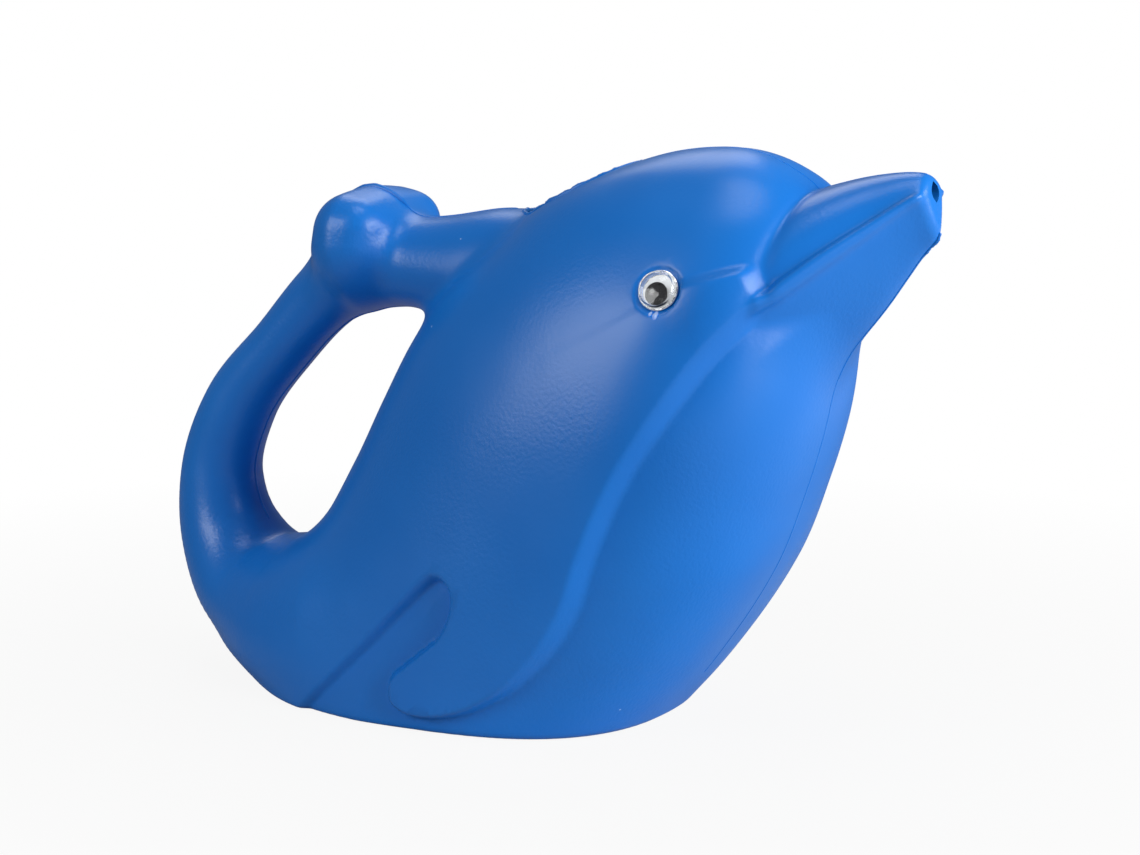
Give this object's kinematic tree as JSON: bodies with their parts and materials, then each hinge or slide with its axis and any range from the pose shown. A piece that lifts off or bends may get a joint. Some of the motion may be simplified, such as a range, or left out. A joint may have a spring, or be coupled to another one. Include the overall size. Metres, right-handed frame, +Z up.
{
  "type": "watering can",
  "caption": "Children's watering can moulded as a leaping dolphin: hollow blue body, tail loop for a handle, spout hole in the beak, filling mouth behind the head, rolling eyes.",
  "frame": {"origin": "on the ground plane, under the middle of the can's outline", "axes": "+X towards the beak, +Z up, the dolphin's right side towards -Y"},
  "size_m": [0.2731, 0.117, 0.1775],
  "materials": {
    "blue_plastic": "satin moulded polyethylene with a fine grain",
    "eye_white": "smooth white card",
    "pupil_black": "matte black",
    "clear_dome": "clear glossy plastic",
    "clear_glue": "clear set glue"
  },
  "bodies": {
    "can": {"body": "blue_plastic", "right_eye_glue": "clear_glue", "right_eye_backing": "eye_white", "right_eye_dome": "clear_dome", "left_eye_glue": "clear_glue", "left_eye_backing": "eye_white", "left_eye_dome": "clear_dome"},
    "right_pupil": {"right_eye_pupil": "pupil_black"},
    "left_pupil": {"left_eye_pupil": "pupil_black"}
  },
  "joints": [
    {"name": "right_pupil_roll", "type": "hinge", "parent": "can", "child": "right_pupil", "pos_m": [0.0685, -0.0441, 0.13934], "axis": [0.0625, -0.9085, 0.4133], "continuous": true},
    {"name": "left_pupil_roll", "type": "hinge", "parent": "can", "child": "left_pupil", "pos_m": [0.0685, 0.0441, 0.13934], "axis": [0.0625, 0.9085, 0.4133], "continuous": true}
  ]
}
